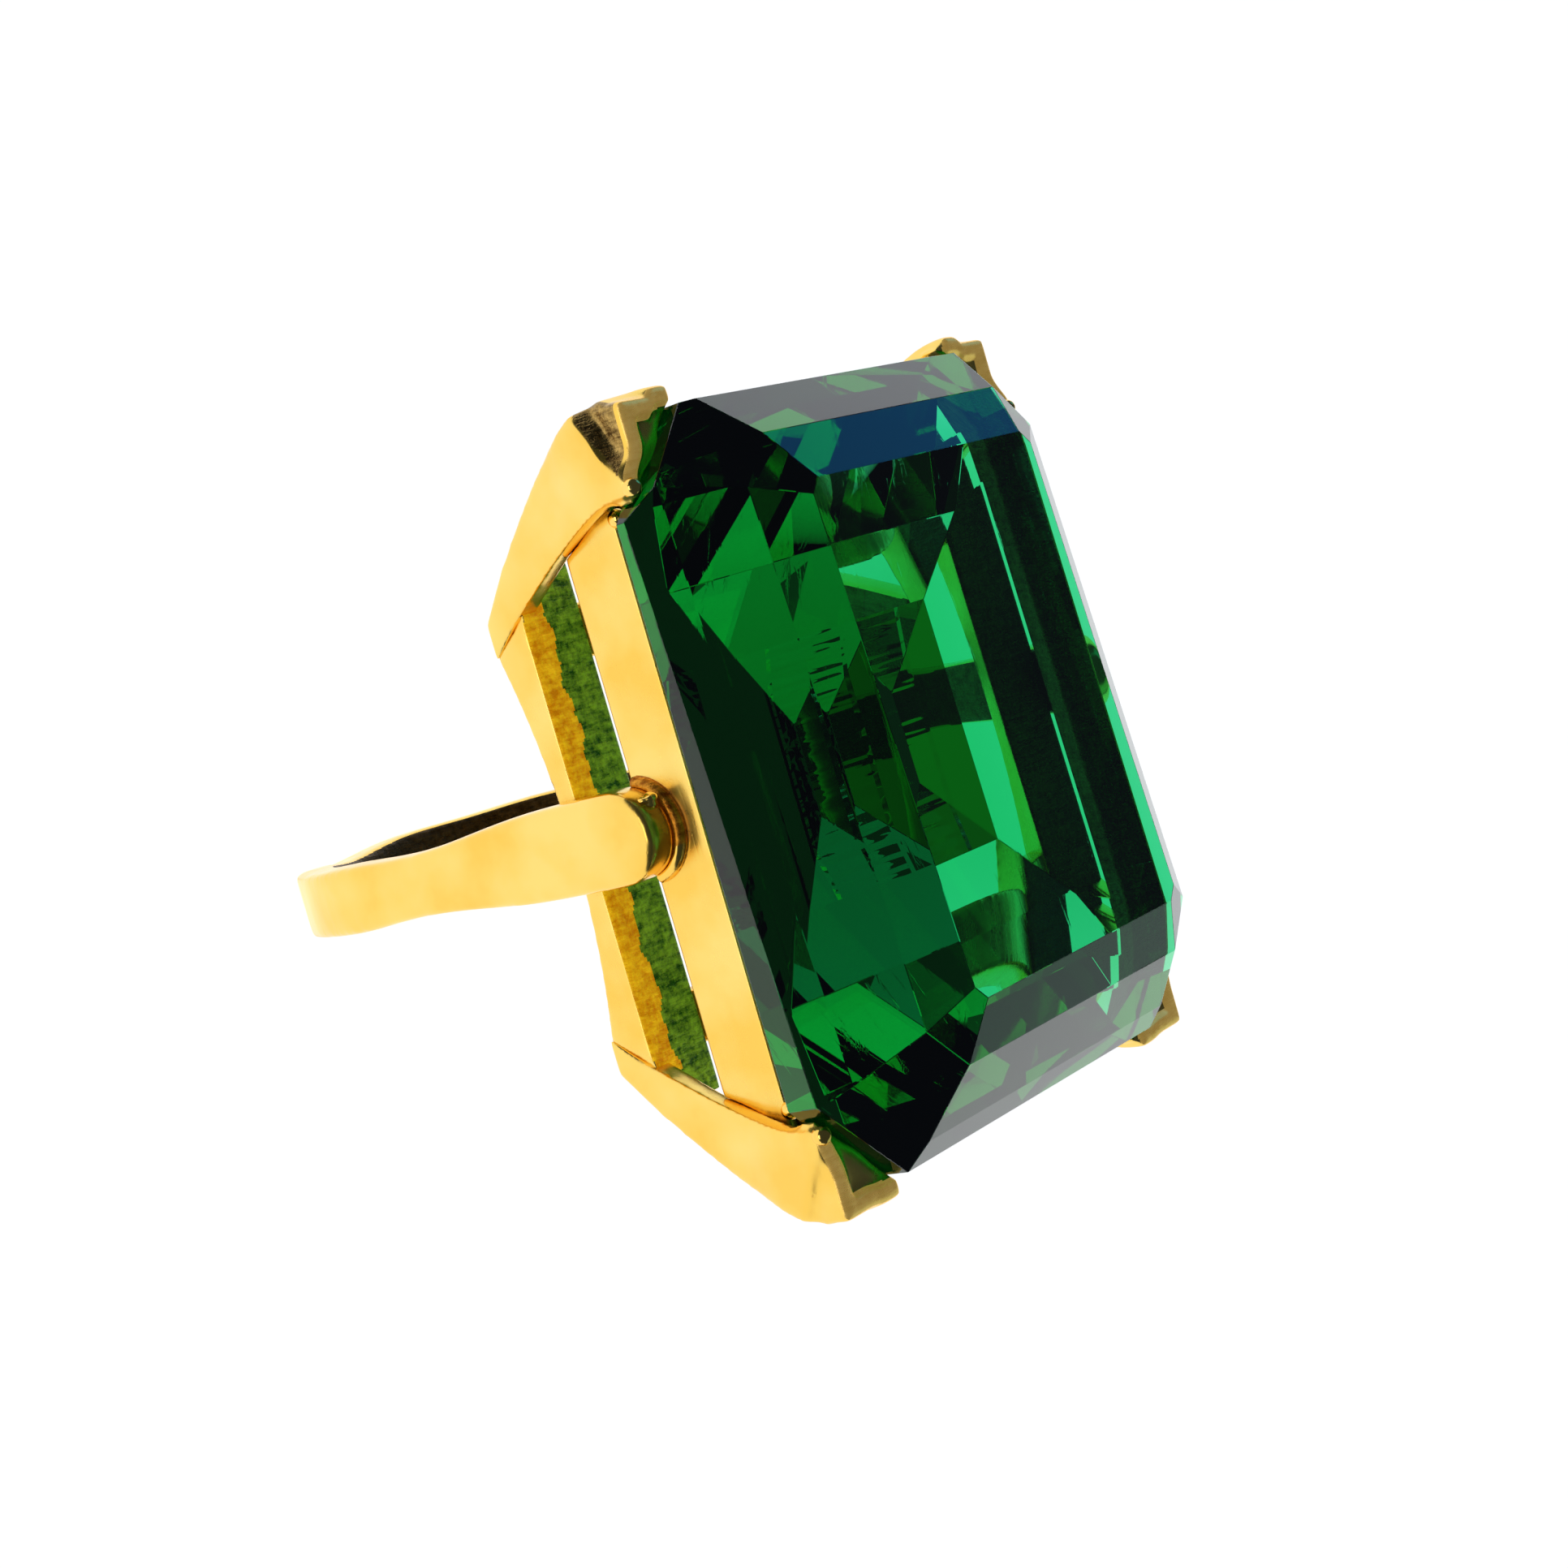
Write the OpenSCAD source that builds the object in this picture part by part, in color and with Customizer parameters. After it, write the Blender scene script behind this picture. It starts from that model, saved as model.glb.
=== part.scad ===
// Cocktail ring: one large step-cut stone held by four folded corner claws over an
// open basket of two frames, with a U-shaped finger band soldered to the basket.
// Millimetres. +Z runs from the finger to the stone's table, Y is the finger's axis,
// X runs across the finger. The origin is the centre of the round of the finger opening.

/* [Stone] */
// width of the stone across the finger, at its girdle
stone_w = 20; // [19.6:0.1:20.2]
// length of the stone along the finger, at its girdle
stone_l = 22.9; // [22.5:0.1:23.1]
// length of each side taken off by a cut corner
stone_corner = 2.9; // [2.7:0.1:3.5]
// height of the girdle's lower edge above the finger's centre
girdle_z = 13.7; // [13.6:0.05:13.9]
// lean of the crown, which is cut a little off level along the finger, in degrees
crown_lean = 2.5; // [0:0.5:4.5]
// height of the crown's foot above the finger's centre, on the lean
crown_z = 14.35; // [14.2:0.05:14.6]
// inset of the lowest crown step
crown_in_1 = 0.75; // [0.6:0.05:0.8]
// rise of the lowest crown step
crown_up_1 = 0.9; // [0.85:0.05:1.2]
// inset of the middle crown step
crown_in_2 = 1.8; // [1.6:0.05:2]
// rise of the middle crown step
crown_up_2 = 1.65; // [1.3:0.05:1.8]
// inset of the crown step beside the table
crown_in_3 = 1.65; // [1.5:0.05:2]
// rise of the crown step beside the table
crown_up_3 = 0.85; // [0.5:0.05:1]
// depth of the pavilion from the girdle to the keel
pavilion_depth = 4.7; // [4.4:0.05:4.8]

/* [Claws] */
// height of the claws' feet
claw_foot_z = 6.4; // [6.2:0.1:6.8]
// height of the claws' rims
claw_rim_z = 14.5; // [14.4:0.1:15]
// height at which the claws stop flaring and stand straight
claw_straight_z = 13.9; // [13.6:0.1:14.2]
// thickness of a claw at its foot
claw_t_foot = 0.95; // [0.8:0.05:1.1]
// thickness of a claw at its rim
claw_t_rim = 0.55; // [0.4:0.05:0.6]
// distance across the claws' feet, across the finger
claw_foot_w = 17.4; // [17.4:0.1:17.8]
// distance across the claws' feet, along the finger
claw_foot_l = 14.4; // [14:0.1:14.6]
// distance across the claws' rims, across the finger
claw_rim_w = 20; // [20:0.1:20.6]
// distance across the claws' rims, along the finger
claw_rim_l = 24.2; // [24.1:0.1:24.6]
// height of the top of the web that fills each claw's fold beside the stone's cut corner
claw_web_z = 14.3; // [13.7:0.1:14.3]
// depth of that web
claw_web_h = 3.2; // [1:0.1:3.4]

/* [Gallery frame] */
// width across the gallery frame's outer faces
gallery_w = 17.4; // [17.3:0.1:17.4]
// length over the gallery frame's outer faces
gallery_l = 20.3; // [20:0.1:20.4]
// height of the gallery bars' lower edges
gallery_z = 10.25; // [10:0.05:10.4]
// height of a gallery bar's outer face
gallery_h = 2.35; // [1.8:0.05:2.35]
// thickness of a gallery bar
gallery_t = 1.6; // [1:0.05:1.6]
// slope of a gallery bar's top, down towards the stone, in degrees
gallery_slope = 37; // [36:1:45]

/* [Base frame] */
// length over the base frame's end bars
base_l = 14; // [13.6:0.1:14.2]
// height of the base bars' upper faces
base_z = 8; // [7.8:0.05:8.2]
// thickness of a side bar at the top of its arch
base_t = 0.8; // [0.6:0.05:1]
// drop of a side bar's lower edge from its middle to its ends
base_arch = 1; // [0.6:0.1:1.2]
// width of a side bar's ledge
base_ledge = 2.6; // [1.8:0.1:2.6]
// width of an end bar
base_end_w = 1.7; // [1.2:0.1:2]
// thickness of an end bar, over the finger
base_end_t = 1; // [0.8:0.05:1]

/* [Finger band] */
// inner diameter of the finger opening
finger_d = 17.3; // [17.2:0.1:17.4]
// radial thickness of the band
band_t = 1.35; // [1:0.05:1.6]
// width of the band at its lowest point
band_w_low = 2.1; // [1.6:0.1:2.5]
// width of the band just below its rounded ends
band_w_high = 2.7; // [2.5:0.1:3.2]
// height of the top of the band's rounded ends
band_top_z = 11.6; // [11.4:0.1:12]

/* [Solder] */
// radius of the solder fillet round each end of the band
fillet_r = 0.3; // [0.2:0.05:0.4]
// radius of a solder bead
bead_r = 0.3; // [0.2:0.02:0.36]

/* [Hidden] */
finger_r = finger_d / 2;
band_r = finger_r + band_t;
band_end_r = band_w_high / 2;
band_end_z = band_top_z - band_end_r;
half_w = stone_w / 2;
half_l = stone_l / 2;
// the leaning crown is cut from a slightly longer outline, set back along the finger
crown_y = -0.17;
crown_long = 0.5;
gallery_top = gallery_z + gallery_h;
base_low = base_z - base_t;
arch_half = base_l / 2;
arch_r = (arch_half * arch_half + base_arch * base_arch) / (2 * base_arch);
end_r_in = finger_r + 0.3;
end_r_out = end_r_in + base_end_t;
far = 40;
crown_in = [crown_in_1, crown_in_2, crown_in_3];
crown_up = [crown_up_1, crown_up_2, crown_up_3];
// share of the half width taken by each pavilion step, and share of the depth it drops
pavilion_in = [0.26, 0.25, 0.24, 0.25];
pavilion_down = [0.405, 0.265, 0.18, 0.15];
// the eight sides of the cut-cornered outline
sides = [0, 45, 90, 135, 180, 225, 270, 315];
claw_steps = 12;
// clearance between a claw's web and the stone
web_gap = 0.02;
// free edges of a claw's two wings, at its foot and at its rim
edge_y_foot = claw_foot_l / 2 - 1.2;
edge_y_rim = claw_rim_l / 2 - 2.9;
edge_x_foot = claw_foot_w / 2 - 1.6;
edge_x_rim = claw_rim_w / 2 - 2.9;
gold = [0.98, 0.79, 0.36];
gold_pale = [1, 0.87, 0.5];
green = [0.03, 0.45, 0.2];
$fn = 96;

// ---------------------------------------------------------------- stone

// sum of the first n values of a list
function sum_to(list, n) = n <= 0 ? 0 : list[n - 1] + sum_to(list, n - 1);

// distance from the axis to a side that faces a given way, for an outline longer by extra
function side_d(a, extra = 0) =
    a % 180 == 0 ? half_w :
    a % 90 == 0 ? half_l + extra :
    (half_w + half_l + extra - stone_corner) / sqrt(2);

// everything on the inner side of one facet plane, which leans by lean from upright
module facet(a, d, z, lean) {
    rotate([0, 0, a])
        translate([d, 0, z])
            rotate([0, lean, 0])
                translate([-far / 2, 0, 0])
                    cube([far, far * 2, far * 2], center = true);
}

module girdle_body() {
    intersection_for (a = sides)
        facet(a, side_d(a), girdle_z, 0);
}

module crown_body() {
    intersection_for (k = [0:2])
        intersection_for (a = sides)
            facet(
                a,
                side_d(a, crown_long) - sum_to(crown_in, k),
                crown_z + sum_to(crown_up, k),
                -atan2(crown_in[k], crown_up[k])
            );
}

module pavilion_body() {
    intersection_for (k = [0:3])
        intersection_for (a = sides)
            facet(
                a,
                side_d(a) - half_w * sum_to(pavilion_in, k),
                girdle_z - pavilion_depth * sum_to(pavilion_down, k),
                atan2(half_w * pavilion_in[k], pavilion_depth * pavilion_down[k])
            );
}

module stone() {
    table_z = crown_z + sum_to(crown_up, 3);
    color(green)
        intersection() {
            girdle_body();
            pavilion_body();
            translate([0, crown_y, 0])
                rotate([-crown_lean, 0, 0])
                    intersection() {
                        crown_body();
                        translate([-far, -far, table_z - far])
                            cube([far * 2, far * 2, far]);
                    }
        }
}

// ---------------------------------------------------------------- claws

// height of one of the points along a claw
function claw_z(i) = claw_foot_z + (claw_straight_z - claw_foot_z) * i / claw_steps;

// share of the way up the flare
function flare(z) = min(1, (z - claw_foot_z) / (claw_straight_z - claw_foot_z));

function claw_t(z) = claw_t_foot + (claw_t_rim - claw_t_foot) * flare(z);

// outer face, across the finger and along it
function out_x(z) = claw_foot_w / 2 + (claw_rim_w - claw_foot_w) / 2 * pow(flare(z), 1.8);

function out_y(z) = claw_foot_l / 2 + (claw_rim_l - claw_foot_l) / 2 * (1 - pow(1 - flare(z), 1.6));

// free edge of the long-side wing and of the short-side wing
function edge_y(z) = edge_y_foot + (edge_y_rim - edge_y_foot) * (1 - pow(1 - flare(z), 1.6));

function edge_x(z) = edge_x_foot + (edge_x_rim - edge_x_foot) * flare(z);

// one band, between an inner and an outer line, as points of a polygon
function heights() = concat([for (i = [0:claw_steps]) claw_z(i)], [claw_rim_z]);

module band_x() {
    polygon(concat(
        [for (z = heights()) [out_x(z), z]],
        [for (i = [claw_steps + 1:-1:0]) [out_x(heights()[i]) - claw_t(heights()[i]), heights()[i]]]
    ));
}

module band_y() {
    polygon(concat(
        [for (z = heights()) [out_y(z), z]],
        [for (i = [claw_steps + 1:-1:0]) [out_y(heights()[i]) - claw_t(heights()[i]), heights()[i]]]
    ));
}

module wing_x() {
    polygon(concat(
        [for (z = heights()) [out_x(z), z]],
        [for (i = [claw_steps + 1:-1:0]) [edge_x(heights()[i]), heights()[i]]]
    ));
}

module wing_y() {
    polygon(concat(
        [for (z = heights()) [out_y(z), z]],
        [for (i = [claw_steps + 1:-1:0]) [edge_y(heights()[i]), heights()[i]]]
    ));
}

// an outline drawn across the finger, pushed along the finger
module push_y() {
    translate([0, far / 2, 0])
        rotate([90, 0, 0])
            linear_extrude(height = far)
                children();
}

// an outline drawn along the finger, pushed across the finger
module push_x() {
    rotate([90, 0, 90])
        linear_extrude(height = far)
            children();
}

// web inside the fold: it fills the corner up to the stone's cut corner
module claw_web() {
    side = 2 * stone_corner;
    middle = [[0, claw_rim_z], [0, claw_foot_z]];
    intersection() {
        push_y()
            polygon(concat([for (z = heights()) [out_x(z) - claw_t(z) / 2, z]], middle));
        push_x()
            polygon(concat([for (z = heights()) [out_y(z) - claw_t(z) / 2, z]], middle));
        rotate([0, 0, 45])
            translate([side_d(45) + web_gap, -side, claw_web_z - claw_web_h])
                cube([side, 2 * side, claw_web_h]);
    }
}

// the claw of the corner at +X, +Y
module claw() {
    intersection() {
        push_y() band_x();
        push_x() wing_y();
    }
    intersection() {
        push_y() wing_x();
        push_x() band_y();
    }
    claw_web();
}

module claw_at(sx, sy) {
    mirror([sx < 0 ? 1 : 0, 0, 0])
        mirror([0, sy < 0 ? 1 : 0, 0])
            claw();
}

module claws() {
    for (sx = [-1, 1])
        for (sy = [-1, 1])
            claw_at(sx, sy);
}

module claw_front_left() {
    color(gold) claw_at(-1, -1);
}

module claw_front_right() {
    color(gold) claw_at(1, -1);
}

module claw_back_left() {
    color(gold) claw_at(-1, 1);
}

module claw_back_right() {
    color(gold) claw_at(1, 1);
}

// ---------------------------------------------------------------- gallery frame

// section of a bar whose outer face is the upright at the origin: its top slopes down inwards
module bar_section() {
    polygon([
        [0, 0],
        [0, gallery_h],
        [-gallery_t, gallery_h - gallery_t * tan(gallery_slope)],
        [-gallery_t, 0]
    ]);
}

module gallery_side(sx) {
    difference() {
        mirror([sx < 0 ? 1 : 0, 0, 0])
            translate([gallery_w / 2, gallery_l / 2, gallery_z])
                rotate([90, 0, 0])
                    linear_extrude(height = gallery_l)
                        bar_section();
        claws();
    }
}

module gallery_end(sy) {
    inside = gallery_w / 2 - gallery_t;
    difference() {
        mirror([0, sy < 0 ? 1 : 0, 0])
            translate([-inside, gallery_l / 2, gallery_z])
                rotate([90, 0, 90])
                    linear_extrude(height = 2 * inside)
                        bar_section();
        claws();
    }
}

module gallery_side_left() {
    color(gold_pale) gallery_side(-1);
}

module gallery_side_right() {
    color(gold_pale) gallery_side(1);
}

module gallery_end_front() {
    color(gold_pale) gallery_end(-1);
}

module gallery_end_back() {
    color(gold_pale) gallery_end(1);
}

// ---------------------------------------------------------------- base frame

// everything between the front claws' and the back claws' inner faces, seen across the finger
module between_claws() {
    outline = [for (z = heights()) [out_y(z) - claw_t(z), z]];
    polygon(concat(
        outline,
        [for (i = [len(outline) - 1:-1:0]) [-outline[i].x, outline[i].y]]
    ));
}

module base_side(sx) {
    difference() {
        intersection() {
            translate([sx > 0 ? gallery_w / 2 - base_ledge : -gallery_w / 2, -far / 2, base_low - base_arch])
                cube([base_ledge, far, base_arch + base_t]);
            translate([-far / 2, 0, 0])
                push_x() between_claws();
        }
        translate([-far / 2, 0, base_low - arch_r])
            rotate([0, 90, 0])
                cylinder(r = arch_r, h = far);
        claws();
    }
}

module base_end(sy) {
    inner = gallery_w / 2 - base_ledge;
    difference() {
        intersection() {
            translate([-inner, sy > 0 ? base_l / 2 - base_end_w : -base_l / 2, 0])
                cube([2 * inner, base_end_w, far]);
            translate([0, far / 2, 0])
                rotate([90, 0, 0])
                    cylinder(r = end_r_out, h = far);
        }
        translate([0, far / 2 + 1, 0])
            rotate([90, 0, 0])
                cylinder(r = end_r_in, h = far + 2);
        claws();
    }
}

module base_side_left() {
    color(gold) base_side(-1);
}

module base_side_right() {
    color(gold) base_side(1);
}

module base_end_front() {
    color(gold) base_end(-1);
}

module base_end_back() {
    color(gold) base_end(1);
}

// ---------------------------------------------------------------- finger band

// the band's U, seen along the finger
module band_outline() {
    difference() {
        union() {
            circle(r = band_r);
            translate([-band_r, 0])
                square([2 * band_r, band_top_z]);
        }
        circle(r = finger_r);
        translate([-finger_r, 0])
            square([2 * finger_r, band_top_z + 1]);
    }
}

// the band's edges, seen across the finger: narrow below, flaring above, round at the top
module band_edges() {
    polygon([
        [-band_w_low / 2, -band_r - 1],
        [band_w_low / 2, -band_r - 1],
        [band_w_low / 2, 0],
        [band_end_r, band_end_z],
        [-band_end_r, band_end_z],
        [-band_w_low / 2, 0]
    ]);
    translate([0, band_end_z])
        circle(r = band_end_r);
}

module shank() {
    color(gold_pale)
        intersection() {
            push_y() band_outline();
            translate([-far / 2, 0, 0])
                push_x() band_edges();
        }
}

// ---------------------------------------------------------------- solder

// fillet round the top of the band's end, on the gallery bar's outer face
module fillet(sx) {
    intersection() {
        translate([sx * gallery_w / 2, 0, band_end_z])
            rotate([0, 90, 0])
                rotate_extrude()
                    translate([band_end_r, 0])
                        circle(r = fillet_r, $fn = 24);
        translate([sx > 0 ? gallery_w / 2 : -gallery_w / 2 - 1, -far / 2, band_end_z + 0.2])
            cube([1, far, gallery_top - band_end_z - 0.4]);
    }
}

module solder_left() {
    color(gold)
        difference() {
            fillet(-1);
            shank();
        }
}

module solder_right() {
    color(gold)
        difference() {
            fillet(1);
            shank();
        }
}

module solder_beads() {
    color(gold_pale)
        for (sx = [-1, 1])
            for (sy = [-1, 1]) {
                translate([sx * (out_x(claw_rim_z) - claw_t_rim / 2), sy * (edge_y(claw_rim_z) + 0.2), claw_rim_z - 0.1])
                    sphere(r = bead_r, $fn = 24);
                translate([sx * (gallery_w / 2 - 0.1), sy * (edge_y(gallery_top) - 0.2), gallery_top])
                    sphere(r = bead_r, $fn = 24);
            }
}

stone();
claw_front_left();
claw_front_right();
claw_back_left();
claw_back_right();
gallery_side_left();
gallery_side_right();
gallery_end_front();
gallery_end_back();
base_side_left();
base_side_right();
base_end_front();
base_end_back();
shank();
solder_left();
solder_right();
solder_beads();
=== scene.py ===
"""Cocktail ring: polished gold basket and a deep green step-cut stone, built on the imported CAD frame.

Every length is in metres unless its name or the comment over it says otherwise. -X is left, -Y is front.
"""

import math

import bmesh
import bpy
import numpy as np
from mathutils import Matrix, Vector


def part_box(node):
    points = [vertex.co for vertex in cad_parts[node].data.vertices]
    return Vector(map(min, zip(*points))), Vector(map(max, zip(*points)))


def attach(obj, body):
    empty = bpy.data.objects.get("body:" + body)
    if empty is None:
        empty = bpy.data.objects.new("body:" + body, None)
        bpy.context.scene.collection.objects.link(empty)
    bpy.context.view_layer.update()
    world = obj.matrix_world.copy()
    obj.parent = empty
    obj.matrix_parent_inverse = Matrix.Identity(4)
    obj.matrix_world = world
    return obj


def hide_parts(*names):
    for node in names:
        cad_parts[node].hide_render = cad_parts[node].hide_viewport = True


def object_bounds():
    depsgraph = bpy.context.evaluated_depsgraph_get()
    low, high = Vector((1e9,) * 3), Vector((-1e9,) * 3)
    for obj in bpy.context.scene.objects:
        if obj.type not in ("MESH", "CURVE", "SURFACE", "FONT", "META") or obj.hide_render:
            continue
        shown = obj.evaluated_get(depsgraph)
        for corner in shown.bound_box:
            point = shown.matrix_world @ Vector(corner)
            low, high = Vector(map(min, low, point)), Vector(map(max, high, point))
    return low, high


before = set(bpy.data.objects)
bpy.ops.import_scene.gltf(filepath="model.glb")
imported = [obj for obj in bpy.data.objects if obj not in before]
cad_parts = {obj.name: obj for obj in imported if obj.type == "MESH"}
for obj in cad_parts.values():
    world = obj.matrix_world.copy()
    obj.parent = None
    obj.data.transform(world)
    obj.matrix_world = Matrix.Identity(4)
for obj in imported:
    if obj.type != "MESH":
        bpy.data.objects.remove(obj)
cad_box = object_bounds()

MM = 0.001
FLOOR_Z = cad_box[0].z


def new_object(name, data):
    """A new object with this data, in the scene."""
    thing = bpy.data.objects.new(name, data)
    bpy.context.scene.collection.objects.link(thing)
    return thing


# ---------------------------------------------------------------- camera

CAMERA_AIM = Vector((2.066, -0.266, 6.520)) * MM
CAMERA_DISTANCE = 87.35 * MM
CAMERA_AZIMUTH = math.radians(175.70)
CAMERA_ELEVATION = math.radians(39.54)
CAMERA_ROLL = math.radians(76.49)
# millimetres
CAMERA_LENS = 60.54
CAMERA_SENSOR = 36
# shares of the picture's width
CAMERA_SHIFT = (0.0077, -0.0021)
CAMERA_CLIP = (0.01, 10)


def make_camera():
    back = Vector((
        math.cos(CAMERA_ELEVATION) * math.cos(CAMERA_AZIMUTH),
        math.cos(CAMERA_ELEVATION) * math.sin(CAMERA_AZIMUTH),
        math.sin(CAMERA_ELEVATION),
    ))
    level_right = Vector((0, 0, 1)).cross(back).normalized()
    level_up = back.cross(level_right)
    right = math.cos(CAMERA_ROLL) * level_right + math.sin(CAMERA_ROLL) * level_up
    up = back.cross(right)
    data = bpy.data.cameras.new("camera")
    data.lens = CAMERA_LENS
    data.sensor_width = CAMERA_SENSOR
    data.shift_x, data.shift_y = CAMERA_SHIFT
    data.clip_start, data.clip_end = CAMERA_CLIP
    camera = new_object("camera", data)
    rotation = Matrix((right, up, back)).transposed()
    camera.matrix_world = Matrix.LocRotScale(CAMERA_AIM + back * CAMERA_DISTANCE, rotation, None)
    bpy.context.scene.camera = camera


make_camera()

# ---------------------------------------------------------------- shader helpers


class Shader:
    """A material under construction: add() makes a node, and wire() joins or sets a socket."""

    def __init__(self, name):
        self.material = bpy.data.materials.new(name)
        self.material.use_nodes = True
        self.tree = self.material.node_tree
        self.tree.nodes.clear()
        self.output = self.add("ShaderNodeOutputMaterial")

    def add(self, kind, sockets=None, **settings):
        node = self.tree.nodes.new(kind)
        for key, value in settings.items():
            setattr(node, key, value)
        for key, value in (sockets or {}).items():
            self.wire(node.inputs[key], value)
        return node

    def wire(self, socket, value):
        if isinstance(value, bpy.types.NodeSocket):
            self.tree.links.new(value, socket)
        else:
            socket.default_value = value

    def surface(self, shader):
        """Joins the shader to the output, and gives the material."""
        self.wire(self.output.inputs["Surface"], shader.outputs[0])
        return self.material

    def place(self, scale, turn=(0, 0, 0)):
        """Object coordinates in millimetres, stretched by scale."""
        where = self.add("ShaderNodeTexCoord").outputs["Object"]
        sockets = {"Vector": where, "Scale": [s / MM for s in scale], "Rotation": turn}
        return self.add("ShaderNodeMapping", sockets).outputs[0]

    def noise(self, scale, detail=3.0, roughness=0.5, turn=(0, 0, 0)):
        """Noise with so many features to the millimetre along each axis, from 0 to 1."""
        sockets = {
            "Vector": self.place(scale, turn),
            "Scale": 1.0,
            "Detail": detail,
            "Roughness": roughness,
        }
        return self.add("ShaderNodeTexNoise", sockets).outputs[0]

    def ramp(self, value, low, high, to_low=0.0, to_high=1.0):
        """value between low and high, remapped and clamped."""
        sockets = {"Value": value, "From Min": low, "From Max": high, "To Min": to_low, "To Max": to_high}
        return self.add("ShaderNodeMapRange", sockets).outputs[0]

    def math(self, operation, a, b):
        return self.add("ShaderNodeMath", {0: a, 1: b}, operation=operation).outputs[0]

    def mix(self, share, a, b):
        """Two values mixed: a Mix node takes them in at 2 and 3, and gives its result at 0."""
        return self.add("ShaderNodeMix", {0: share, 2: a, 3: b}, data_type="FLOAT").outputs[0]

    def blend(self, share, a, b):
        """Two colours mixed: a Mix node takes them in at 6 and 7, and gives its result at 2."""
        return self.add("ShaderNodeMix", {0: share, 6: a, 7: b}, data_type="RGBA").outputs[2]

    def bump(self, height, depth, under=None):
        """A bump that is depth high, in millimetres, where height goes from 0 to 1."""
        sockets = {"Height": height, "Distance": depth * MM, "Strength": 1.0}
        if under is not None:
            sockets["Normal"] = under
        return self.add("ShaderNodeBump", sockets).outputs[0]


# ---------------------------------------------------------------- gold

GOLD = (0.98, 0.61, 0.105, 1)
GOLD_PALE = (1.0, 0.72, 0.195, 1)
# millimetres
SCRATCH_DEPTH = 0.0015
PIT_DEPTH = 0.002


def gold(name, rough, wave):
    """Hand-polished gold plate: soft waves, a few pits, fine polishing scratches and uneven sheen."""
    s = Shader(name)
    clouds = s.noise(scale=(0.35, 0.35, 0.35), detail=4)
    smears = s.noise(scale=(1.5, 0.5, 1.0), detail=5, roughness=0.6, turn=(0.4, 0.7, 0.2))
    waves = s.noise(scale=(0.45, 0.45, 0.45), detail=2)
    lines = s.noise(scale=(14, 0.7, 5), detail=2, roughness=0.5, turn=(0.3, 0.5, 0.9))
    spots = s.noise(scale=(5, 5, 5), detail=2)
    waved = s.bump(waves, wave)
    scratched = s.bump(s.ramp(lines, low=0.60, high=0.72), -SCRATCH_DEPTH, waved)
    pitted = s.bump(s.ramp(spots, low=0.68, high=0.76), -PIT_DEPTH, scratched)
    return s.surface(s.add("ShaderNodeBsdfPrincipled", {
        "Base Color": s.blend(s.ramp(clouds, low=0.35, high=0.65), GOLD, GOLD_PALE),
        "Metallic": 1.0,
        "Roughness": s.ramp(smears, low=0.3, high=0.7, to_low=rough[0], to_high=rough[1]),
        "Normal": pitted,
    }))


# millimetres
FILE_MARK_DEPTH = 0.09
GRAIN_DEPTH = 0.06
# how far the mottled colour follows the file marks, and not the grain
FILE_MARK_SHARE = 0.45


def gold_rough(name, dark, light, metallic=1.0, rough=(0.22, 0.5), glow=0.0, relief=1.0):
    """Gold left grainy and file-marked, mottled from dark to light.

    The glow stands for the light that the stone and the white surroundings throw on it.
    """
    s = Shader(name)
    grain = s.noise(scale=(3.2, 2.4, 3.2), detail=5, roughness=0.75)
    files = s.noise(scale=(1.2, 6, 1.2), detail=4, roughness=0.65, turn=(0, 0, 0.35))
    mottled = s.mix(FILE_MARK_SHARE, grain, files)
    colour = s.blend(s.ramp(mottled, low=0.40, high=0.60), dark, light)
    filed = s.bump(files, FILE_MARK_DEPTH * relief)
    return s.surface(s.add("ShaderNodeBsdfPrincipled", {
        "Base Color": colour,
        "Metallic": metallic,
        "Roughness": s.ramp(files, low=0.3, high=0.7, to_low=rough[0], to_high=rough[1]),
        "Normal": s.bump(grain, GRAIN_DEPTH * relief, filed),
        "Emission Color": colour,
        "Emission Strength": glow,
    }))


gold_claw = gold("gold_claw", rough=(0.16, 0.28), wave=0.016)
gold_bar = gold("gold_bar", rough=(0.20, 0.32), wave=0.010)
gold_band = gold("gold_band", rough=(0.14, 0.26), wave=0.012)
gold_solder = gold("gold_solder", rough=(0.08, 0.18), wave=0.02)
# the left ledge's outer part, cast gold with a painted glow of light; its inner part, with a painted green
# reflection of the stone; and faces painted dark as painted shade
gold_cast_painted_glow = gold_rough(
    "gold_cast_painted_glow",
    dark=(0.62, 0.22, 0.0, 1),
    light=(1.0, 0.60, 0.01, 1),
    metallic=0.6,
    rough=(0.3, 0.6),
    glow=0.50,
)
# the left ledge's inner part: green and a glow painted on as a painted reflection of the stone
gold_painted_green_reflection = gold_rough(
    "gold_painted_green_reflection",
    dark=(0.01, 0.10, 0.0, 1),
    light=(0.36, 0.74, 0.04, 1),
    metallic=0.3,
    rough=(0.2, 0.5),
    glow=0.17,
)
# dark gold painted on as painted shade, for faces inside the basket and the band
gold_painted_shade = gold_rough("gold_painted_shade", dark=(0.05, 0.03, 0.01, 1), light=(0.16, 0.10, 0.04, 1))
# the claws' rims, brightened with a painted glow of light; the hollows under the back claws' rims, painted
# dark as painted shade; and the fillets, dark red behind as a painted reflection
gold_rim_painted_light = gold_rough(
    "gold_rim_painted_light",
    dark=(0.85, 0.52, 0.11, 1),
    light=(1.0, 0.64, 0.16, 1),
    metallic=0.8,
    rough=(0.2, 0.35),
    glow=0.26,
    relief=0.12,
)
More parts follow.
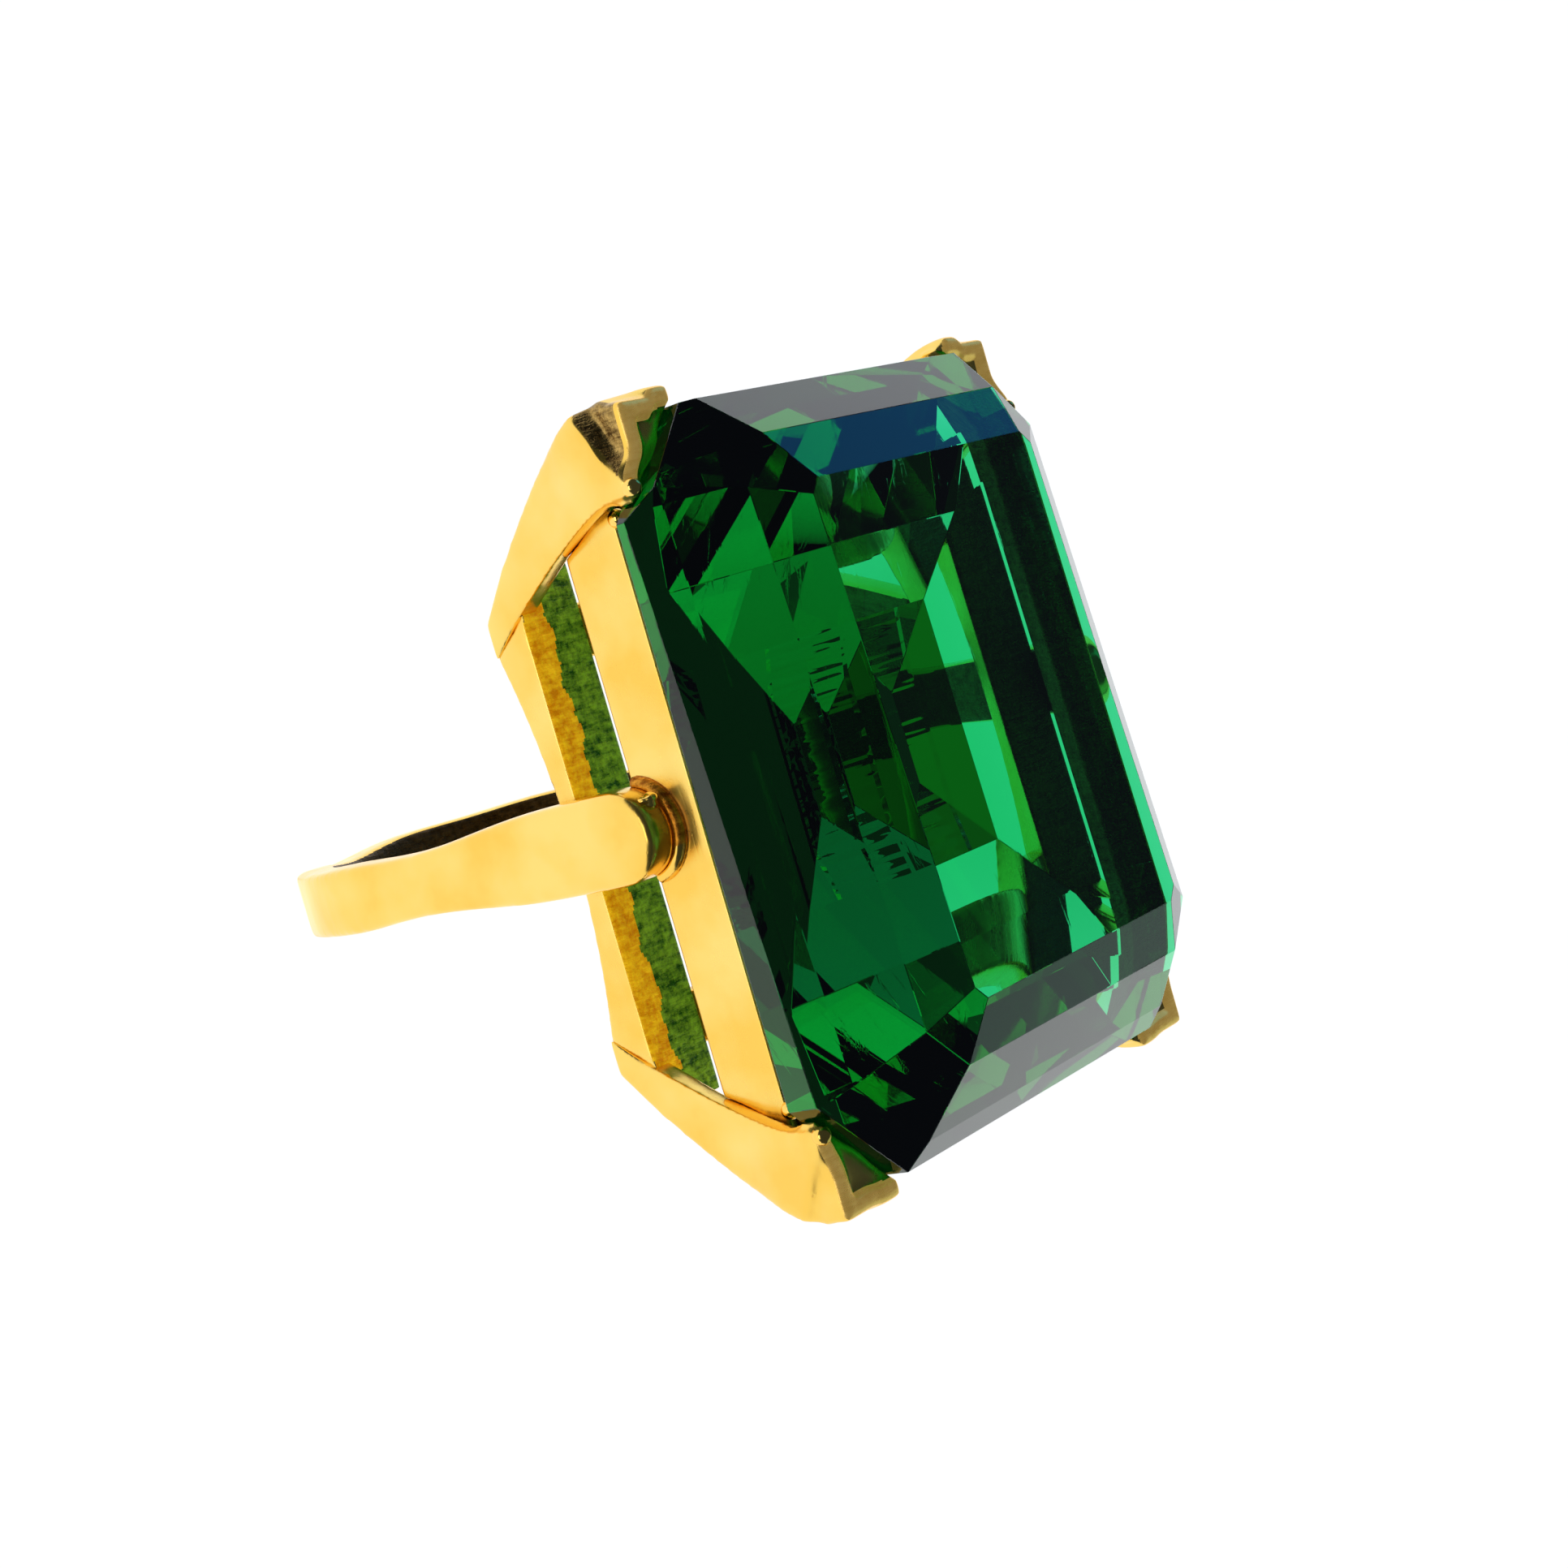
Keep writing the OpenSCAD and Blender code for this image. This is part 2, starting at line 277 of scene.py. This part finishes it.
# dark gold painted into the hollows as painted shade
gold_recess_painted_shade = gold_rough(
    "gold_recess_painted_shade",
    dark=(0.08, 0.04, 0.01, 1),
    light=(0.62, 0.40, 0.12, 1),
    rough=(0.12, 0.3),
    relief=0.6,
)
# dark red gold and a faint glow, painted on as a painted reflection
gold_painted_red_reflection = gold_rough(
    "gold_painted_red_reflection",
    dark=(0.22, 0.05, 0.0, 1),
    light=(0.75, 0.32, 0.03, 1),
    metallic=0.9,
    rough=(0.12, 0.25),
    glow=0.04,
    relief=0.4,
)

# ---------------------------------------------------------------- green glass

GLASS_SURFACE = (0.62, 1.0, 0.74, 1)
GLASS_IOR = 1.56
# the colour that the glass lets through, and how densely it absorbs the rest, to the metre
GLASS_INSIDE = (0.0, 0.86, 0.62, 1)
GLASS_DENSITY = 430.0
# millimetres
GLASS_SCRATCH_DEPTH = 0.0004
# millimetres: how far the grinding ribs reach to each side of the stone's keel, and over what they fade
RIBS_HALF_W = 1.1
RIBS_FADE = 0.2


def green_glass(name, ribs=0.0):
    """Deep green glass, darker the more of it the light crosses, with faint scratches.

    ribs is the height in millimetres of the grinding ribs beside the keel.
    """
    s = Shader(name)
    streaks = s.noise(scale=(3.0, 0.25, 1.0), detail=4, roughness=0.6, turn=(0, 0, 0.5))
    lines = s.ramp(streaks, low=0.62, high=0.7)
    relief = s.bump(lines, GLASS_SCRATCH_DEPTH)
    if ribs:
        across = s.add("ShaderNodeSeparateXYZ", {"Vector": s.place((1, 1, 1))}).outputs[0]
        near_keel = s.ramp(s.math("ABSOLUTE", across, 0.0), low=RIBS_HALF_W, high=RIBS_HALF_W - RIBS_FADE)
        uneven = s.noise(scale=(0.3, 3.2, 0.3), detail=1, roughness=0.4)
        relief = s.bump(s.math("MULTIPLY", uneven, near_keel), ribs, relief)
    inside = s.add("ShaderNodeVolumeAbsorption", {"Color": GLASS_INSIDE, "Density": GLASS_DENSITY})
    s.wire(s.output.inputs["Volume"], inside.outputs[0])
    return s.surface(s.add("ShaderNodeBsdfPrincipled", {
        "Base Color": GLASS_SURFACE,
        "Roughness": s.ramp(lines, low=0.0, high=1.0, to_low=0.0, to_high=0.03),
        "IOR": GLASS_IOR,
        "Transmission Weight": 1.0,
        "Normal": relief,
    }))


glass = green_glass("green_glass")
glass_ribbed = green_glass("green_glass_ribbed", ribs=0.04)

# ---------------------------------------------------------------- mesh helpers

# millimetres: CAD points this close are one point
MERGE_WITHIN = 0.0005
# how far a point is drawn toward the middle of its neighbours, each time the edges are relaxed
RELAX_SHARE = 0.6
# how many more times the edges are relaxed once a piece is worked
RELAX_WORKED = 5

# a voxel's size in millimetres, and how many times the edges are relaxed
CLAW_MESH = (0.07, 12)
GALLERY_MESH = (0.09, 6)
BASE_SIDE_MESH = (0.08, 6)
BASE_END_MESH = (0.09, 6)
BAND_MESH = (0.11, 6)
SOLDER_MESH = (0.04, 4)


def mesh_object(name, shape):
    """A new object with the mesh that shape holds."""
    mesh = bpy.data.meshes.new(name)
    shape.to_mesh(mesh)
    shape.free()
    return new_object(name, mesh)


def cad_copy(name, nodes):
    """A new object with copies of the CAD nodes' meshes, their shared points merged."""
    shape = bmesh.new()
    for node in nodes:
        shape.from_mesh(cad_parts[node].data)
    bmesh.ops.remove_doubles(shape, verts=shape.verts, dist=MERGE_WITHIN * MM)
    return mesh_object(name, shape)


def bake_modifiers(piece):
    """Turns the piece's modifiers into its mesh."""
    graph = bpy.context.evaluated_depsgraph_get()
    old = piece.data
    piece.data = bpy.data.meshes.new_from_object(piece.evaluated_get(graph))
    piece.modifiers.clear()
    bpy.data.meshes.remove(old)


def points_of(mesh):
    """The mesh's points, in millimetres."""
    flat = np.zeros(len(mesh.vertices) * 3, np.float32)
    mesh.vertices.foreach_get("co", flat)
    return flat.reshape(-1, 3).astype(float) / MM


def set_points(mesh, points):
    mesh.vertices.foreach_set("co", (points * MM).astype(np.float32).ravel())
    mesh.update()


def relax(mesh, times):
    """Rounds edges by drawing each point to the middle of its neighbours."""
    ends = np.zeros(len(mesh.edges) * 2, np.int32)
    mesh.edges.foreach_get("vertices", ends)
    a, b = ends.reshape(-1, 2).T
    points = points_of(mesh)
    count = np.bincount(np.r_[a, b], minlength=len(points))[:, None]
    for _ in range(times):
        total = np.zeros_like(points)
        np.add.at(total, a, points[b])
        np.add.at(total, b, points[a])
        points += RELAX_SHARE * (total / count - points)
    set_points(mesh, points)


def cast_piece(name, nodes, fineness, material, shape=None):
    """Cast and polished metal: the CAD solid remeshed, its edges rounded, then worked by shape(points)."""
    voxel, times = fineness
    piece = cad_copy(name, nodes)
    remesh = piece.modifiers.new("remesh", "REMESH")
    remesh.mode = "VOXEL"
    remesh.voxel_size = voxel * MM
    bake_modifiers(piece)
    relax(piece.data, times)
    if shape is not None:
        set_points(piece.data, shape(points_of(piece.data)))
        relax(piece.data, RELAX_WORKED)
    piece.data.materials.clear()
    piece.data.materials.append(material)
    piece.data.shade_smooth()
    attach(piece, "root")
    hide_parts(*nodes)
    return piece


def second_finish(piece, finish, chooses):
    """Gives the faces that chooses(centre, normal) picks, in millimetres, another finish."""
    index = len(piece.data.materials)
    piece.data.materials.append(finish)
    for face in piece.data.polygons:
        if chooses(face.center / MM, face.normal):
            face.material_index = index


def step(value, low, high):
    """0 below low, 1 above high, smooth between."""
    t = np.clip((value - low) / (high - low), 0, 1)
    return t * t * (3 - 2 * t)


# ---------------------------------------------------------------- claws

# Lengths in this section are in millimetres. A claw has a side wing and an end wing, which meet at its
# corner. Its rim is set in beside the corner, so that the plate below stands out as a boss.

# how far the back claws' rims are set in at the corner, and the front claws'
SET_IN_BACK = 0.62
SET_IN_FRONT = 0.25
# how far down and along the side wing that reaches, and the height of the slope below it
SET_IN_DEPTH = 1.9
SET_IN_LENGTH = 2.9
SET_IN_SLOPE = 0.55
# the share of that depth that is left at the wing's free edge
SET_IN_LEAST = 0.12
# the end wing's depth, and how far it is set in, as shares of the side wing's
END_WING_DEPTH = 0.6
END_WING_SET_IN = 0.4
# where the set-in begins and ends to run out, from the corner, across a wing and along it
SET_IN_ACROSS = (1.0, 2.4)
SET_IN_ALONG = (1.2, SET_IN_LENGTH)

# how far the side wing's plate bellies out, how far below the rim, and how tall that belly is
BELLY = 0.12
BELLY_DOWN = 2.6
BELLY_TALL = 1.3
# where the belly begins and ends to run out, from the corner, across the wing and along it
BELLY_ACROSS = (0.5, 0.9)
BELLY_ALONG = (2.0, 3.6)

# how far a claw's heel is filed in at its end, up to what height, and where and over what it runs out
HEEL_ROUND = 0.25
HEEL_HEIGHT = 1.2
HEEL_FROM = 1.0
HEEL_OVER = 0.8

# the hollow under a back claw's rim: how far down it starts, how far above the boss it ends, and how
# deep into the wing and how much turned outward its faces are
HOLLOW_DOWN = 0.28
HOLLOW_ABOVE_BOSS = 0.12
HOLLOW_DEEP = 0.9
HOLLOW_FACES_OUT = 0.1

# the rim's faces are this near its top, and this much turned up
RIM_NEAR = 0.15
RIM_FACES_UP = 0.3


def recess_depth(along):
    """How far down a claw's set-in rim reaches, at a distance along the wing from the corner."""
    return SET_IN_DEPTH * np.clip(1 - along / SET_IN_LENGTH, SET_IN_LEAST, 1)


def claw_corner(sx, sy):
    """The claw's outer corner, and the heights of its foot and its rim."""
    node = f"claw_{'front' if sy < 0 else 'back'}_{'left' if sx < 0 else 'right'}"
    low, high = (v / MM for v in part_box(node))
    return high.x if sx > 0 else low.x, high.y if sy > 0 else low.y, low.z, high.z


def claw_shape(sx, sy):
    """Works a claw: its set-in rim, its belly and its heel."""
    corner_x, corner_y, foot, rim = claw_corner(sx, sy)
    set_in = SET_IN_BACK if sy > 0 else SET_IN_FRONT

    def work(points):
        in_x = (corner_x - points[:, 0]) * sx
        in_y = (corner_y - points[:, 1]) * sy
        down = rim - points[:, 2]
        out = points.copy()
        # the set-in zone is deepest at the corner and runs out at each wing's free edge
        side_deep = recess_depth(in_y)
        end_deep = END_WING_DEPTH * recess_depth(in_x)
        side_zone = 1 - step(down, side_deep - SET_IN_SLOPE, side_deep)
        end_zone = 1 - step(down, end_deep - SET_IN_SLOPE, end_deep)
        out[:, 0] -= (
            sx * set_in * side_zone
            * (1 - step(in_x, *SET_IN_ACROSS)) * (1 - step(in_y, *SET_IN_ALONG))
        )
        out[:, 1] -= (
            sy * END_WING_SET_IN * set_in * end_zone
            * (1 - step(in_y, *SET_IN_ACROSS)) * (1 - step(in_x, *SET_IN_ALONG))
        )
        # the plate bellies out a little below
        belly = np.exp(-(((down - BELLY_DOWN) / BELLY_TALL) ** 2)) * (1 - step(in_x, *BELLY_ACROSS))
        out[:, 0] += sx * BELLY * belly * (1 - step(in_y, *BELLY_ALONG))
        # and its heel is filed round
        heel = 1 - step(points[:, 2] - foot, 0.0, HEEL_HEIGHT)
        out[:, 1] -= sy * HEEL_ROUND * heel * (1 - step(in_x - HEEL_FROM, 0.0, HEEL_OVER))
        return out

    return work


def in_hollow(sx, sy):
    """Chooses the outer faces of a claw's side wing between its rim and the plate's boss."""
    corner_x, corner_y, _, rim = claw_corner(sx, sy)

    def chooses(centre, normal):
        in_x = (corner_x - centre.x) * sx
        down = rim - centre.z
        lowest = recess_depth((corner_y - centre.y) * sy) - HOLLOW_ABOVE_BOSS
        return HOLLOW_DOWN < down < lowest and in_x < HOLLOW_DEEP and normal.x * sx > HOLLOW_FACES_OUT

    return chooses


def on_rim(sx, sy):
    """Chooses the faces on top of a claw."""
    rim = claw_corner(sx, sy)[3]
    return lambda centre, normal: centre.z > rim - RIM_NEAR and normal.z > RIM_FACES_UP


for sx, side in ((-1, "left"), (1, "right")):
    for sy, end in ((-1, "front"), (1, "back")):
        claw = f"claw_{end}_{side}"
        piece = cast_piece(f"{claw}_gold", [claw], CLAW_MESH, gold_claw, claw_shape(sx, sy))
        if sy > 0:
            # the back claws' hollows are painted dark as painted shade
            second_finish(piece, gold_recess_painted_shade, in_hollow(sx, sy))
        # the claws' tops are brightened with a painted glow of light
        second_finish(piece, gold_rim_painted_light, on_rim(sx, sy))

# ---------------------------------------------------------------- basket

# millimetres: the left ledge's outer cast gold is this wide, and gives way to its inner part, which
# carries a painted green reflection of the stone
LEDGE_OUTER_W = 1.0
LEDGE_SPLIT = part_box("base_side_left")[0].x / MM + LEDGE_OUTER_W
# the waves in that line: how far each goes in millimetres, how fast along the ledge, and where it starts
SPLIT_WAVES = ((0.10, 2.3, 0), (0.06, 6.1, 1))
# millimetres: how far the ledges' ends run on under the claws, from what distance from the middle, and
# over what length that comes in
LEDGE_RUN_ON = 0.6
LEDGE_RUN_ON_FROM = 6.6
LEDGE_RUN_ON_OVER = 1.0
# how much the ledges' faces are turned up, and the right gallery bar's inner faces to the left
LEDGE_FACES_UP = 0.6
BAR_FACES_LEFT = 0.4


def ledge_shape(points):
    """Runs the ledges' ends on under the claws."""
    out = points.copy()
    far_out = step(np.abs(points[:, 1]), LEDGE_RUN_ON_FROM, LEDGE_RUN_ON_FROM + LEDGE_RUN_ON_OVER)
    out[:, 1] += LEDGE_RUN_ON * np.sign(points[:, 1]) * far_out
    return out


def on_ledge(centre, normal):
    """Chooses the faces on top of a base bar."""
    return normal.z > LEDGE_FACES_UP


def on_painted_green_reflection(centre, normal):
    """Chooses the inner part of the left ledge, which carries a painted green reflection of the stone, and
    whose edge wanders.
    """
    wander = sum(size * math.sin(rate * centre.y + start) for size, rate, start in SPLIT_WAVES)
    return on_ledge(centre, normal) and centre.x > LEDGE_SPLIT + wander


def on_inner_face(centre, normal):
    """Chooses the right gallery bar's inner face."""
    return normal.x < -BAR_FACES_LEFT


for sx, side in ((-1, "left"), (1, "right")):
    bar = cast_piece(f"gallery_{side}_gold", [f"gallery_side_{side}"], GALLERY_MESH, gold_bar)
    # the right gallery bar's inner face is painted dark as painted shade
    if sx > 0:
        second_finish(bar, gold_painted_shade, on_inner_face)
    node = f"base_side_{side}"
    bar = cast_piece(f"base_{side}_gold", [node], BASE_SIDE_MESH, gold_bar, ledge_shape)
    # the left ledge's top is cast gold with a painted glow of light, the right one's is painted dark as
    # painted shade
    second_finish(bar, gold_cast_painted_glow if sx < 0 else gold_painted_shade, on_ledge)
    # the left ledge's inner part carries a painted green reflection of the stone
    if sx < 0:
        second_finish(bar, gold_painted_green_reflection, on_painted_green_reflection)

for end in ("front", "back"):
    cast_piece(f"gallery_{end}_gold", [f"gallery_end_{end}"], GALLERY_MESH, gold_bar)
    cast_piece(f"base_{end}_gold", [f"base_end_{end}"], BASE_END_MESH, gold_bar)

# ---------------------------------------------------------------- finger band

# millimetres: how far the hand-filed edges of the band wander
BAND_WANDER = 0.075
# the waves of that: the share each takes, how many go round the finger, and where it starts
BAND_WAVES = ((1, 5, 0.6), (0.6, 9, 2.1))
# millimetres from the band's middle line: where the wandering begins, and where it is whole
BAND_EDGE = (0.3, 1.0)
# how squarely the band's inner faces look at the finger
FACES_FINGER = 0.7


def band_shape(points):
    """Lets the band's edges wander along the finger, as a hand-filed strip's do."""
    round_it = np.arctan2(points[:, 0], -points[:, 2])
    out = points.copy()
    edge = np.sign(points[:, 1]) * step(np.abs(points[:, 1]), *BAND_EDGE)
    wander = sum(share * np.sin(count * round_it + start) for share, count, start in BAND_WAVES)
    out[:, 1] += BAND_WANDER * edge * wander
    return out


def on_finger(centre, normal):
    """Chooses the band's inner face, which looks level where the band's arms are straight."""
    below = min(centre.z, 0)
    return normal.x * centre.x + normal.z * below < -FACES_FINGER * math.hypot(centre.x, below)


band = cast_piece("shank_gold", ["shank"], BAND_MESH, gold_band, band_shape)
# the band's inner face is painted dark as painted shade
second_finish(band, gold_painted_shade, on_finger)

# ---------------------------------------------------------------- solder

# millimetres: the fillets are reddened behind this
# millimetres: behind this, the fillets carry a dark red painted reflection
PAINTED_REFLECTION_FROM_Y = -0.6


def on_painted_red_reflection(centre, normal):
    """Chooses all but the front of a fillet."""
    return centre.y > PAINTED_REFLECTION_FROM_Y


for side in ("left", "right"):
    fillet = cast_piece(f"solder_{side}_gold", [f"solder_{side}"], SOLDER_MESH, gold_solder)
    # all but the front of each fillet carries a dark red painted reflection
    second_finish(fillet, gold_painted_red_reflection, on_painted_red_reflection)
cast_piece("solder_beads_gold", ["solder_beads"], SOLDER_MESH, gold_solder)

# millimetres: the run of solder on the upper edge of the band's left end lies this far out and down
# from the edge of that end's fillet, and this far back
RUN_OUT = 0.28
RUN_DOWN = 0.62
RUN_BACK = 0.86
RUN_AT = Vector((
    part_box("solder_left")[0].x / MM - RUN_OUT,
    RUN_BACK,
    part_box("solder_left")[1].z / MM - RUN_DOWN,
))
RUN_HALF_SIZE = Vector((0.34, 0.26, 0.30))
# how lumpy it is along and across the band, as shares of its size
RUN_LUMPS_LONG = 0.12
RUN_LUMPS_ACROSS = 0.08


def make_run():
    """The lumpy run of solder."""
    shape = bmesh.new()
    bmesh.ops.create_icosphere(shape, subdivisions=4, radius=1)
    for vert in shape.verts:
        lumps_long = RUN_LUMPS_LONG * math.sin(3 * vert.co.x + 2 * vert.co.z)
        lumps_across = RUN_LUMPS_ACROSS * math.sin(5 * vert.co.y)
        at = Vector(c * size for c, size in zip(vert.co, RUN_HALF_SIZE))
        vert.co = (RUN_AT + (1 + lumps_long + lumps_across) * at) * MM
    run = mesh_object("solder_run_gold", shape)
    run.data.materials.append(gold_solder)
    run.data.shade_smooth()
    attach(run, "root")


make_run()

# ---------------------------------------------------------------- stone

# CAD faces that turn by less than this are one facet
FACET_TURN = math.radians(0.3)
# millimetres: the width of the polish on each edge, and the least turn of an edge that has it
EDGE_POLISH = 0.03
EDGE_TURN = math.radians(4)
# the facets beside the keel face down more squarely than this, and keep the ribs of their grinding
KEEL_FACETS = -0.95


def make_stone():
    """The cut stone with whole flat facets and a hair of polish on every edge."""
    piece = cad_copy("stone_glass", ["stone"])
    shape = bmesh.new()
    shape.from_mesh(piece.data)
    bmesh.ops.dissolve_limit(shape, angle_limit=FACET_TURN, verts=shape.verts, edges=shape.edges)
    shape.to_mesh(piece.data)
    shape.free()
    bevel = piece.modifiers.new("bevel", "BEVEL")
    bevel.width = EDGE_POLISH * MM
    bevel.segments = 1
    bevel.limit_method = "ANGLE"
    bevel.angle_limit = EDGE_TURN
    bake_modifiers(piece)
    piece.data.materials.clear()
    piece.data.materials.append(glass)
    piece.data.shade_flat()
    second_finish(piece, glass_ribbed, lambda centre, normal: normal.z < KEEL_FACETS)
    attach(piece, "root")
    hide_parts("stone")


make_stone()

# ---------------------------------------------------------------- floor

FLOOR_HALF_W = 1.5
FLOOR_DARK = (0.90, 0.90, 0.89, 1)
FLOOR_LIGHT = (0.95, 0.95, 0.94, 1)
# the floor shines a little, to show as plain white
FLOOR_GLOW = 0.95
# millimetres
FLOOR_GRAIN_DEPTH = 0.002


def make_floor():
    """A plain pale floor with the faint unevenness of a painted board."""
    s = Shader("pale_board")
    tint = s.noise(scale=(0.02, 0.02, 0.02), detail=3)
    grain = s.noise(scale=(1.2, 1.2, 1.2), detail=3)
    board = s.surface(s.add("ShaderNodeBsdfPrincipled", {
        "Base Color": s.blend(tint, FLOOR_DARK, FLOOR_LIGHT),
        "Roughness": 0.6,
        "Normal": s.bump(grain, FLOOR_GRAIN_DEPTH),
        "Emission Color": (1, 1, 1, 1),
        "Emission Strength": FLOOR_GLOW,
    }))
    half = FLOOR_HALF_W
    shape = bmesh.new()
    corners = [(-half, -half), (half, -half), (half, half), (-half, half)]
    shape.faces.new([shape.verts.new((x, y, FLOOR_Z)) for x, y in corners])
    floor = mesh_object("floor", shape)
    floor.data.materials.append(board)


make_floor()

# ---------------------------------------------------------------- light

# the lamps face this point of the ring
LIT_AT = Vector((0, 0, 8 * MM))
# the studio darkens away from its middle: most quickly up, less to front and back, least to the sides
DARKER_TOWARD = (0.14, 0.32, 1.0)
# its colours from the middle out
STUDIO_COLOURS = (
    (0.0, (0.9, 0.92, 0.95, 1)),
    (0.2, (0.35, 0.38, 0.42, 1)),
    (0.45, (0.035, 0.045, 0.06, 1)),
)


def make_light(name, place, size, radiance, colour=(1, 1, 1)):
    """A soft rectangular lamp that faces the ring."""
    data = bpy.data.lights.new(name, "AREA")
    data.shape = "RECTANGLE"
    data.size, data.size_y = size
    data.energy = radiance * math.pi * size[0] * size[1]
    data.color = colour
    lamp = new_object(name, data)
    lamp.location = place
    lamp.rotation_mode = "QUATERNION"
    lamp.rotation_quaternion = (LIT_AT - Vector(place)).to_track_quat("-Z", "Y")
    lamp.visible_camera = False


def make_world():
    """The studio round the ring, which lights it and shows in its gloss."""
    world = bpy.data.worlds.new("studio")
    bpy.context.scene.world = world
    world.use_nodes = True
    tree = world.node_tree
    background = tree.nodes["Background"]
    where = tree.nodes.new("ShaderNodeTexCoord")
    fold = tree.nodes.new("ShaderNodeVectorMath")
    fold.operation = "ABSOLUTE"
    lean = tree.nodes.new("ShaderNodeVectorMath")
    lean.operation = "DOT_PRODUCT"
    lean.inputs[1].default_value = DARKER_TOWARD
    shade = tree.nodes.new("ShaderNodeValToRGB")
    stops = shade.color_ramp.elements
    stops.remove(stops[1])
    stops[0].position, stops[0].color = STUDIO_COLOURS[0]
    for position, colour in STUDIO_COLOURS[1:]:
        stops.new(position).color = colour
    tree.links.new(where.outputs["Generated"], fold.inputs[0])
    tree.links.new(fold.outputs[0], lean.inputs[0])
    tree.links.new(lean.outputs["Value"], shade.inputs[0])
    tree.links.new(shade.outputs[0], background.inputs["Color"])
    background.inputs["Strength"].default_value = 1.0


make_light("front", place=(0.32, -0.30, 0.16), size=(0.40, 0.22), radiance=0.5, colour=(0.70, 1.0, 0.85))
make_light("back", place=(0.37, 0.24, 0.21), size=(0.22, 0.20), radiance=0.8, colour=(0.02, 0.35, 0.9))
make_light("left", place=(-0.42, 0.02, 0.09), size=(0.30, 0.10), radiance=2.0)
make_world()
bpy.context.scene.view_settings.view_transform = "Standard"
